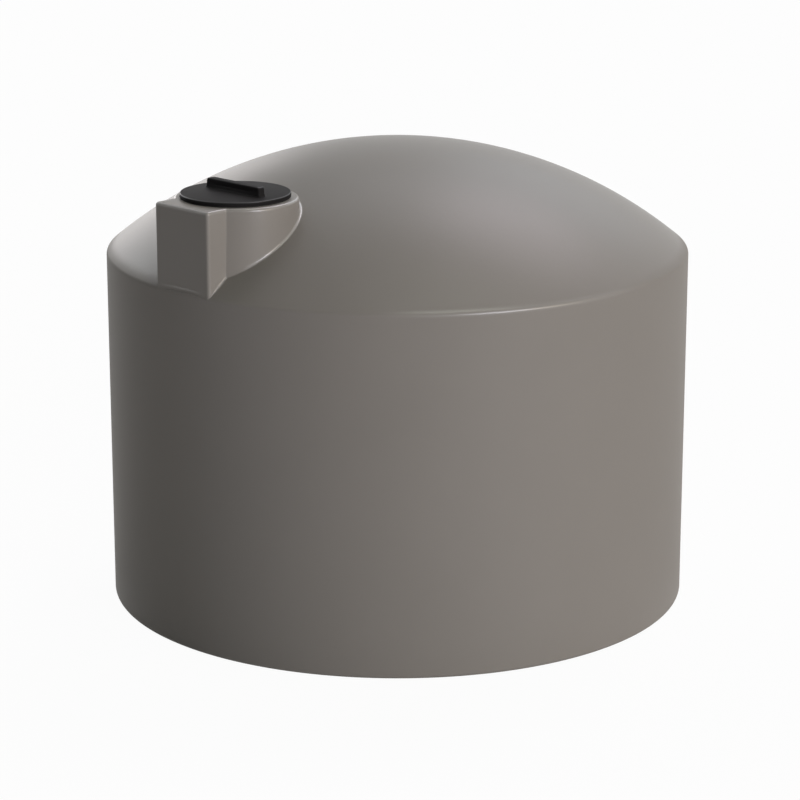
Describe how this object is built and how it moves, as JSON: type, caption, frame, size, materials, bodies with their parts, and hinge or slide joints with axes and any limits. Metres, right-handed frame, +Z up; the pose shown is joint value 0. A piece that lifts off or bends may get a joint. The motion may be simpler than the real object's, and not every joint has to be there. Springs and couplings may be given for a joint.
{
  "type": "round plastic rainwater tank",
  "caption": "Round upright rainwater tank with a domed roof, an offset manhole turret with a flat front, and a screw lid with a grip bar.",
  "frame": {"origin": "centre of the tank's base, on the ground", "axes": "+Z up along the tank's axis, -Y towards the manhole turret's flat front, +X to the right seen from the front"},
  "size_m": [3.6996, 3.6996, 2.914],
  "materials": {
    "tank_plastic": "satin moulded polyethylene, warm grey",
    "lid_plastic": "satin moulded plastic, black",
    "seal_rubber": "matt black rubber"
  },
  "bodies": {
    "tank": {"crown_panel_1": "tank_plastic", "crown_panel_2": "tank_plastic", "crown_panel_3": "tank_plastic", "crown_panel_4": "tank_plastic", "manhole_neck": "tank_plastic", "roof_panel_1": "tank_plastic", "roof_panel_2": "tank_plastic", "roof_panel_3": "tank_plastic", "roof_panel_4": "tank_plastic", "roof_panel_5": "tank_plastic", "roof_panel_6": "tank_plastic", "roof_panel_7": "tank_plastic", "roof_patch_back": "tank_plastic", "roof_patch_left": "tank_plastic", "roof_patch_right": "tank_plastic", "tank_floor": "tank_plastic", "turret_cheek_left": "tank_plastic", "turret_cheek_right": "tank_plastic", "turret_deck_back_left": "tank_plastic", "turret_deck_back_right": "tank_plastic", "turret_deck_front_left": "tank_plastic", "turret_deck_front_right": "tank_plastic", "turret_front": "tank_plastic", "turret_wall_back_left": "tank_plastic", "turret_wall_back_right": "tank_plastic", "turret_wall_front_left": "tank_plastic", "turret_wall_front_right": "tank_plastic", "wall_segment_01": "tank_plastic", "wall_segment_02": "tank_plastic", "wall_segment_03": "tank_plastic", "wall_segment_04": "tank_plastic", "wall_segment_05": "tank_plastic", "wall_segment_06": "tank_plastic", "wall_segment_07": "tank_plastic", "wall_segment_08": "tank_plastic", "wall_segment_09": "tank_plastic", "wall_segment_10": "tank_plastic", "wall_segment_11": "tank_plastic", "wall_segment_12": "tank_plastic"},
    "lid_seal": {"lid_seal": "seal_rubber"},
    "lid": {"lid_cap": "lid_plastic", "lid_plug": "lid_plastic", "lid_handle": "lid_plastic"}
  },
  "joints": [
    {"name": "lid_lift", "type": "slide", "parent": "tank", "child": "lid_seal", "axis": [0, 0, 1], "range_m": [0, 0.7]},
    {"name": "lid_turn", "type": "hinge", "parent": "lid_seal", "child": "lid", "pos_m": [0, -1.395, 2.7752], "axis": [0, 0, 1], "range_deg": [0, 90]}
  ]
}
